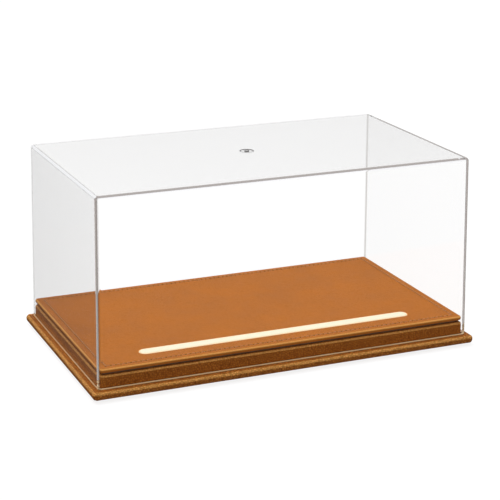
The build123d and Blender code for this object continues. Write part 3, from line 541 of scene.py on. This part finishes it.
def mesh_object(name, mesh):
    """Turns a bmesh into a smooth-shaded object of the scene."""
    data = bpy.data.meshes.new(name)
    for face in mesh.faces:
        face.smooth = True
    mesh.to_mesh(data)
    mesh.free()
    piece = bpy.data.objects.new(name, data)
    bpy.context.scene.collection.objects.link(piece)
    return piece


def arc(centre_inset, centre_height, radius, start, end, steps):
    """Points (inset, height) of an arc; 0 degrees points outwards and 90 degrees up."""
    points = []
    for step in range(steps + 1):
        turn = math.radians(start + (end - start) * step / steps)
        points.append((centre_inset - radius * math.cos(turn), centre_height + radius * math.sin(turn)))
    return points


def reshape(piece, shift):
    """Moves each vertex along its normal by the shift that its place asks for."""
    data = piece.data
    normals = [Vector(normal.vector) for normal in data.vertex_normals]
    places = [vertex.co.copy() for vertex in data.vertices]
    moved = [place + normal * shift(place) for place, normal in zip(places, normals)]
    data.vertices.foreach_set("co", [value for place in moved for value in place])
    data.update()


def unevenness(place):
    """Gentle lumps some 20 mm across, from -1 to 1."""
    return noise.noise(place * 45)


def even_out(piece, leather, half):
    """Gives a leather skin its mitred folds, puckers beside them and a slightly uneven face."""

    def shift(place):
        gap_x = half.x - abs(place.x)
        gap_y = half.y - abs(place.y)
        reach = max(gap_x, gap_y)
        height = leather.unevenness * unevenness(place)
        if reach < leather.fold_reach:
            offset = (gap_x - gap_y) / math.sqrt(2)
            fold = math.exp(-((offset / leather.fold_width) ** 2))
            ridge = math.exp(-(((offset - leather.fold_ridge) / leather.ridge_width) ** 2))
            height += leather.fold_depth * (0.45 * ridge - fold)
            waves = math.sin(offset * 3600 + 3 * noise.noise(place * 300))
            height += leather.pucker * math.exp(-reach / leather.pucker_fade) * waves
        return height

    reshape(piece, shift)


def finish_piece(piece, body, slot, material, *nodes):
    """Gives a modelled piece its material, its body and the nodes that it stands for."""
    piece.data.materials.append(material)
    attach(piece, body)
    if nodes:
        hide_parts(*nodes)


def thicken(piece, thickness):
    """Gives a sheet its thickness, inwards."""
    modifier = piece.modifiers.new("thickness", "SOLIDIFY")
    modifier.thickness = thickness
    modifier.offset = -1


# Distances from a corner at which the sides of folded leather have extra points, and the even steps along the
# rest of each side, along X and along Y.
NEAR = [distance * MM for distance in (0.4, 0.8, 1.2, 1.7, 2.3, 3.0, 4.0, 5.5, 8.0)]
STEPS = (120, 70)


class CASE_OT_plinth(bpy.types.Operator):
    """Wrap the plinth in leather with mitred corners"""

    bl_idname = "case.plinth"
    bl_label = "Plinth leather"

    def execute(self, context):
        leather = context.scene.case_leather
        middle, half, low, high = box_of("plinth_leather")
        edge = leather.plinth_edge
        profile = [(14 * MM, high), (9 * MM, high), (6 * MM, high), (4 * MM, high)]
        profile += arc(edge, high - edge, edge, 90, 0, 8)
        profile += arc(edge, low + edge, edge, 0, -90, 8)
        profile += [(5 * MM, low), (9 * MM, low), (leather.turn_in, low)]
        band = rings(profile, middle, half, leather.plinth_corner, 16, NEAR, STEPS)
        piece = sheet_object("plinth_skin", band)
        even_out(piece, leather, half)
        thicken(piece, leather.thickness)
        finish_piece(piece, "base", "leather", leather_finish("leather_plinth", leather), "plinth_leather")
        paint("plinth_board", board_finish())
        return {"FINISHED"}


class CASE_OT_riser(bpy.types.Operator):
    """Wrap the riser in leather that folds over its top edge"""

    bl_idname = "case.riser"
    bl_label = "Riser leather"

    def execute(self, context):
        leather = context.scene.case_leather
        middle, half, low, high = box_of("riser_leather")
        edge = leather.riser_edge
        height_step = (high - edge - low) / 8
        profile = [(3 * MM, high), (2 * MM, high)] + arc(edge, high - edge, edge, 90, 0, 6)
        profile += [(0, high - edge - height_step * step) for step in range(1, 9)]
        band = rings(profile, middle, half, leather.riser_corner, 12, NEAR, STEPS)
        piece = sheet_object("riser_skin", band)
        even_out(piece, leather, half)
        thicken(piece, leather.thickness)
        finish = leather_finish("leather_riser", leather, crease=0.8, relief=0.312, highlighted_tips=0.15)
        finish_piece(piece, "base", "leather", finish, "riser_leather")
        paint("riser_board", board_finish())
        return {"FINISHED"}


def stitch_holes(half, inset, counts):
    """Places, directions and spacing of the stitch holes, evenly spaced from corner to corner."""
    holes = []
    corner = half.xy - Vector((inset, inset))
    for turn in range(4):
        size = corner if turn % 2 == 0 else corner.yx
        rotation = Matrix.Rotation(turn * math.pi / 2, 2)
        pitch = 2 * size.x / counts[turn % 2]
        for step in range(counts[turn % 2]):
            place = rotation @ Vector((size.x - pitch * step, size.y))
            holes.append((place, rotation @ Vector((-1, 0)), pitch))
    return holes


class CASE_OT_deck(bpy.types.Operator):
    """Cover the deck in leather, with a stitched edge and a lip round the light slot"""

    bl_idname = "case.deck"
    bl_label = "Deck leather"

    def execute(self, context):
        leather = context.scene.case_leather
        middle, half, low, high = box_of("deck_leather")
        inset = leather.stitch_inset
        counts = [round(2 * (size - inset) / leather.stitch_pitch) for size in (half.x, half.y)]
        edge = leather.deck_edge
        row = [(inset + offset * MM, high) for offset in (1.6, 1.1, 0.7, 0.35, 0, -0.35, -0.7, -1.1, -1.6)]
        profile = [(9.5 * MM, high), *row, (2.9 * MM, high)]
        profile += arc(edge, high - edge, edge, 90, 0, 6)
        profile += arc(edge, low + edge, edge, 0, -90, 4)
        profile += [(9 * MM, low)]
        columns = [8 * count for count in counts]
        outer = rings(profile, middle, half, leather.deck_corner, 8, (), columns)
        lip = leather.slot_edge
        slot_profile = [(leather.slot_band, high), *arc(lip, high - lip, lip, 90, 0, 5), (0, low)]
        slot_middle, slot_half = slot_opening()
        inner = [stadium(slot_middle, slot_half, outset, height) for outset, height in slot_profile]
        piece = sheet_object("deck_skin", inner, outer)
        draw_in(piece, leather, half, high, counts)
        thicken(piece, leather.thickness)
        finish = leather_finish("leather_deck", leather, crease=0.2, relief=0.084, highlighted_tips=0.0)
        finish_piece(piece, "base", "leather", finish, "deck_leather")
        threads = stitching(leather, stitch_holes(half, inset, counts), high)
        finish_piece(threads, "base", "leather", thread_finish(leather))
        paint("deck_board", board_finish())
        return {"FINISHED"}


def slot_opening():
    """The middle and half sizes of the light slot, from the opal bar that lies in it."""
    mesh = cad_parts["led_diffuser"].data
    top = max(vertex.co.z for vertex in mesh.vertices)
    upper = [vertex.co for vertex in mesh.vertices if vertex.co.z > top - 1.2 * MM]
    low = Vector((min(place.x for place in upper), min(place.y for place in upper)))
    high = Vector((max(place.x for place in upper), max(place.y for place in upper)))
    gap = Vector((0.2 * MM, 0.2 * MM))
    return (low + high) / 2, (high - low) / 2 + gap


def stadium(middle, half, outset, height):
    """Points of a slot with round ends, moved outwards by the outset."""
    radius = half.y + outset
    reach = half.x - half.y
    points = []
    for side in (1, -1):
        for step in range(25):
            turn = -math.pi / 2 + math.pi * step / 24
            x = middle.x + side * (reach + radius * math.cos(turn))
            points.append((x, middle.y + side * radius * math.sin(turn), height))
        for step in range(1, 40):
            x = middle.x + side * (reach - 2 * reach * step / 40)
            points.append((x, middle.y + side * radius, height))
    return points


def draw_in(piece, leather, half, high, counts):
    """Draws the leather down along the stitch row, with a pit at each hole, and makes its face uneven."""
    inset = leather.stitch_inset

    def shift(place):
        gap_x = half.x - abs(place.x)
        gap_y = half.y - abs(place.y)
        off = min(gap_x, gap_y) - inset
        if off > 3 * MM:
            return 0
        height = 0.6 * leather.unevenness * unevenness(place)
        if place.z < high - 1e-6 or abs(off) > 2 * MM:
            return height
        axis = 0 if gap_y < gap_x else 1
        reach = half[axis] - inset
        pitch = 2 * reach / counts[axis]
        share = (place[axis] + reach) / pitch
        nearest = math.hypot(off, (share - round(share)) * pitch)
        groove = leather.stitch_sink * math.exp(-((off / leather.thread) ** 2))
        pit = leather.hole_depth * math.exp(-((nearest / leather.hole_radius) ** 2))
        return height - groove - pit

    # How deep each stitch hole is, stored for the painted shade that the leather's material puts in the
    # holes.
    depths = [-shift(vertex.co) / leather.hole_depth for vertex in piece.data.vertices]
    hole_shade = piece.data.attributes.new("pit", "FLOAT", "POINT")
    hole_shade.data.foreach_set("value", [min(1, max(0, depth)) for depth in depths])
    reshape(piece, shift)


def stitching(leather, holes, high):
    """One thread from hole to hole: each stitch stands proud of the leather and dives at both ends."""
    mesh = bmesh.new()
    radius = leather.thread / 2
    lowest = high - leather.stitch_sink - leather.thread_dip
    for place, direction, pitch in holes:
        side = Vector((-direction.y, direction.x, 0))
        loops = []
        for step in range(9):
            share = step / 8
            swell = math.sin(math.pi * share)
            centre = (place + direction * pitch * (0.13 + 0.74 * share)).to_3d()
            centre += side * leather.thread_lean * (share - 0.5)
            centre.z = lowest + leather.thread_rise * swell**0.5
            width = radius * (0.62 + 0.38 * swell)
            loops.append([mesh.verts.new(centre + width * point) for point in circle(side)])
        join_rings(mesh, loops)
        mesh.faces.new(loops[0])
        mesh.faces.new(loops[-1][::-1])
    bmesh.ops.recalc_face_normals(mesh, faces=mesh.faces)
    return mesh_object("deck_stitching", mesh)


def circle(side):
    """Eight points of an upright circle of radius 1 that spans the side's direction."""
    turns = [step * math.pi / 4 for step in range(8)]
    return [side * math.cos(turn) + Vector((0, 0, math.sin(turn))) for turn in turns]


class CASE_OT_cover(bpy.types.Operator):
    """Polish the clear cover, with a band of painted highlight along its lower edge and its moulding gate
    mark, whose rings are painted dark
    """

    bl_idname = "case.cover"
    bl_label = "Clear cover"

    def execute(self, context):
        light = context.scene.case_light
        middle, half, low, high = box_of("cover")
        paint("cover", acrylic_finish(light, middle, half, low, high))
        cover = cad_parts["cover"]
        cover.visible_shadow = False
        cover.visible_diffuse = False
        # Painted highlight: a thin band inside the cover's foot, in the rim colour, for the light caught
        # along its cut edge.
        section = ((0.36, 0.06), (0.12, 0.3), (0.12, 0.8), (1.85, 0.8), (1.85, 0.06), (0.36, 0.06))
        profile = [(inset * MM, low + height * MM) for inset, height in section]
        rim = sheet_object("cover_rim", rings(profile, middle, half, light.cover_corner, 8, (), (4, 4)))
        finish_piece(rim, "cover", "acrylic", plain_finish("rim_highlight", light.rim_highlight_colour, 0.3))
        # Painted shade: the gate mark's rings are dark lines inside the clear top, standing for how the
        # mark's sunken edges look dark.
        mark = bmesh.new()
        centre = Vector((middle.x, middle.y, high - light.gate_sink))
        circle_line(mark, centre, light.gate_ring, 0.35 * MM)
        circle_line(mark, centre, light.gate_nib, 0.5 * MM)
        gate = mesh_object("gate_mark", mark)
        finish_piece(gate, "cover", "acrylic", plain_finish("gate_shade", (0.1, 0.095, 0.095), 0.3))
        return {"FINISHED"}


def circle_line(mesh, centre, radius, thickness):
    """Adds a thin round line along a level circle."""
    loops = []
    for step in range(48):
        turn = 2 * math.pi * step / 48
        out = Vector((math.cos(turn), math.sin(turn), 0))
        loops.append([mesh.verts.new(centre + out * radius + thickness * point) for point in circle(out)])
    join_rings(mesh, [*loops, loops[0]])


class CASE_OT_light_bar(bpy.types.Operator):
    """Light the opal bar and finish the circuit under it"""

    bl_idname = "case.light_bar"
    bl_label = "Light bar"

    def execute(self, context):
        slot_middle, slot_half = slot_opening()
        paint("led_diffuser", opal_finish(context.scene.case_light, slot_middle, slot_half))
        paint("led_channel", plain_finish("aluminium", (0.72, 0.73, 0.74), 0.34, metallic=1.0, grain=0.0002))
        paint("led_circuit", plain_finish("white_circuit", (0.78, 0.79, 0.76), 0.4))
        paint("led_chips", plain_finish("chip", (0.9, 0.72, 0.2), 0.35))
        paint("led_resistors", plain_finish("resistor", (0.03, 0.03, 0.035), 0.4))
        return {"FINISHED"}


class CASE_OT_underside(bpy.types.Operator):
    """Finish the lining, the feet, the battery box and its door"""

    bl_idname = "case.underside"
    bl_label = "Underside"

    def execute(self, context):
        paint("base_lining", felt_finish())
        rubber = plain_finish("rubber", (0.03, 0.03, 0.031), 0.78, grain=0.0005, relief=0.00008)
        for corner in ("front_left", "front_right", "back_left", "back_right"):
            paint(f"foot_{corner}", rubber)
        moulded = plain_finish("moulded_black", (0.055, 0.055, 0.058), 0.46, grain=0.0004, relief=0.00005)
        paint("battery_box", moulded)
        paint("battery_door", moulded)
        paint("battery_box_screws", plain_finish("zinc", (0.6, 0.6, 0.58), 0.32, metallic=1.0))
        paint("base_screws", plain_finish("zinc_dark", (0.5, 0.5, 0.48), 0.36, metallic=1.0))
        return {"FINISHED"}


class CASE_OT_electrics(bpy.types.Operator):
    """Finish the cells, the contacts, the switch and the wires"""

    bl_idname = "case.electrics"
    bl_label = "Cells, switch and wires"

    def execute(self, context):
        for cell in ("battery_cell_1", "battery_cell_2", "battery_cell_3"):
            paint(cell, cell_finish(cell))
        nickel = plain_finish("nickel", (0.68, 0.66, 0.62), 0.26, metallic=1.0, grain=0.0003)
        for name in ("negative", "link_left", "link_right", "positive"):
            paint(f"contact_{name}", nickel)
        paint("switch_body", plain_finish("switch_can", (0.62, 0.63, 0.64), 0.3, metallic=1.0))
        paint("switch_slider", plain_finish("knob", (0.03, 0.03, 0.032), 0.5, grain=0.0003))
        paint("switch_terminals", plain_finish("tin", (0.7, 0.69, 0.66), 0.38, metallic=1.0))
        paint("switch_screws", plain_finish("zinc_small", (0.6, 0.6, 0.58), 0.32, metallic=1.0))
        red = plain_finish("wire_red", (0.5, 0.02, 0.015), 0.42)
        black = plain_finish("wire_black", (0.02, 0.02, 0.02), 0.42)
        paint("wire_red", red)
        paint("wire_black", black)
        paint("wire_link", red)
        return {"FINISHED"}


class CASE_OT_stage(bpy.types.Operator):
    """Set up the camera, the floor and the soft studio light"""

    bl_idname = "case.stage"
    bl_label = "Stage"

    def execute(self, context):
        stage = context.scene.case_stage
        add_camera(stage)
        add_floor(stage)
        add_world(stage)
        add_lamps(stage)
        return {"FINISHED"}


def add_camera(stage):
    """A camera at the picture's angle."""
    turn, lift, roll = stage.azimuth, stage.elevation, stage.roll
    back = Vector((math.sin(turn) * math.cos(lift), -math.cos(turn) * math.cos(lift), math.sin(lift)))
    right = Vector((math.cos(turn), math.sin(turn), 0))
    up = back.cross(right)
    tilted_right = math.cos(roll) * right + math.sin(roll) * up
    tilted_up = math.cos(roll) * up - math.sin(roll) * right
    data = bpy.data.cameras.new("camera")
    data.lens = stage.lens
    data.sensor_width = 36
    data.clip_end = 50
    camera = bpy.data.objects.new("camera", data)
    camera.matrix_world = (
        Matrix.Translation(stage.camera_place) @ Matrix((tilted_right, tilted_up, back)).transposed().to_4x4()
    )
    bpy.context.scene.collection.objects.link(camera)
    bpy.context.scene.camera = camera


def ray_kinds(shader):
    """Two shares: 1 for rays that see the plain background, and 1 for rays that were reflected.

    A ray sees the background straight or through clear pieces, and also when it was reflected back and forth
    inside the one wall that it passed.
    """
    path = shader.add("ShaderNodeLightPath").outputs
    few_passes = shader.math("LESS_THAN", path["Transmission Depth"], 2.5)
    many_reflections = shader.math("GREATER_THAN", path["Glossy Depth"], 1.5)
    one_wall = shader.math("MULTIPLY", few_passes, many_reflections)
    reflected = shader.math("MINIMUM", path["Glossy Depth"], 1.0)
    mirrored = shader.math("MULTIPLY", reflected, shader.math("SUBTRACT", 1.0, one_wall))
    straight = shader.math("MAXIMUM", path["Is Camera Ray"], path["Is Transmission Ray"])
    return shader.math("MULTIPLY", straight, shader.math("SUBTRACT", 1.0, mirrored)), mirrored


def add_floor(stage):
    """A plain pale floor that keeps the case's shadow and is seen only from above."""
    mesh = bmesh.new()
    bmesh.ops.create_grid(mesh, x_segments=8, y_segments=8, size=stage.floor_size / 2)
    floor = mesh_object("floor", mesh)
    shader = Shader("floor")
    speckle = shader.noise(0.004, detail=3).outputs["Fac"]
    shader.set(
        Base_Color=shader.mix(speckle, scaled(stage.floor_colour, 0.985), tuple(stage.floor_colour)),
        Roughness=0.9,
        Specular_IOR_Level=0.0,
    )
    straight, mirrored = ray_kinds(shader)
    glow = shader.add("ShaderNodeEmission", {"Strength": shader.math("MULTIPLY", straight, stage.floor_glow)})
    total = shader.add("ShaderNodeAddShader", {0: shader.surface, 1: glow})
    clear = shader.add("ShaderNodeBsdfTransparent")
    from_below = shader.add("ShaderNodeNewGeometry").outputs["Backfacing"]
    hidden = shader.math("MAXIMUM", from_below, mirrored)
    shown = shader.add("ShaderNodeMixShader", {0: hidden, 1: total, 2: clear})
    shader.links.new(shown.outputs[0], shader.output.inputs["Surface"])
    floor.data.materials.append(shader.material)
    floor.visible_glossy = False
    floor.visible_diffuse = False


def add_world(stage):
    """A soft sky, brighter overhead. The background is white, and what shines mirrors a dimmer studio."""
    world = bpy.data.worlds.new("studio")
    bpy.context.scene.world = world
    world.use_nodes = True
    shader = Shader("sky", world.node_tree)
    upward = shader.axes(shader.add("ShaderNodeTexCoord").outputs["Generated"])["Z"]
    sky = shader.ramp(upward, (0.0, 0.6), (0.9, 1.0))
    height = shader.math("ADD", shader.math("MULTIPLY", upward, 0.5), 0.5)
    gloss = shader.ramp(height, (0.46, stage.mirror_below), (0.6, stage.mirror_above))
    straight, mirrored = ray_kinds(shader)
    soft = shader.add("ShaderNodeBackground", {"Color": sky, "Strength": stage.sky_strength})
    studio = shader.add("ShaderNodeBackground", {"Color": gloss, "Strength": 1.0})
    white = shader.add("ShaderNodeBackground", {"Color": (1, 1, 1, 1), "Strength": 1.0})
    lit = shader.add("ShaderNodeMixShader", {0: mirrored, 1: soft, 2: studio})
    shown = shader.add("ShaderNodeMixShader", {0: straight, 1: lit, 2: white})
    shader.links.new(shown.outputs[0], shader.output.inputs["Surface"])


def add_lamps(stage):
    """A broad key lamp almost overhead, and one that shows the underside."""
    for name, strength, direction in (
        ("key", stage.lamp_strength, (-0.2, 0.12, 0.97)),
        ("below", stage.below_strength, (0.2, -0.3, -0.93)),
    ):
        data = bpy.data.lights.new(name, "SUN")
        data.energy = strength
        data.angle = math.radians(50)
        lamp = bpy.data.objects.new(name, data)
        lamp.matrix_world = Vector(direction).to_track_quat("Z", "Y").to_matrix().to_4x4()
        bpy.context.scene.collection.objects.link(lamp)


class CASE_PT_panel(bpy.types.Panel):
    """Lists the steps that dress the case"""

    bl_label = "Display Case"
    bl_idname = "CASE_PT_panel"
    bl_space_type = "VIEW_3D"
    bl_region_type = "UI"
    bl_category = "Display Case"

    def draw(self, context):
        for operator in OPERATORS:
            self.layout.operator(operator.bl_idname)
        for group in ("case_leather", "case_light", "case_stage"):
            settings = getattr(context.scene, group)
            column = self.layout.column()
            for name in settings.__annotations__:
                column.prop(settings, name)


GROUPS = {"case_leather": CaseLeather, "case_light": CaseLight, "case_stage": CaseStage}
OPERATORS = (
    CASE_OT_stage,
    CASE_OT_plinth,
    CASE_OT_riser,
    CASE_OT_deck,
    CASE_OT_light_bar,
    CASE_OT_underside,
    CASE_OT_electrics,
    CASE_OT_cover,
)


def register():
    for group in (*GROUPS.values(), *OPERATORS, CASE_PT_panel):
        bpy.utils.register_class(group)
    for name, group in GROUPS.items():
        setattr(bpy.types.Scene, name, PointerProperty(type=group))


def unregister():
    for name in GROUPS:
        delattr(bpy.types.Scene, name)
    for group in (CASE_PT_panel, *reversed(OPERATORS), *reversed(GROUPS.values())):
        bpy.utils.unregister_class(group)


def main():
    """Dresses the case."""
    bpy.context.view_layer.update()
    register()
    bpy.context.scene.view_settings.view_transform = "Standard"
    for operator in OPERATORS:
        group, name = operator.bl_idname.split(".")
        getattr(getattr(bpy.ops, group), name)()


if __name__ == "__main__":
    main()
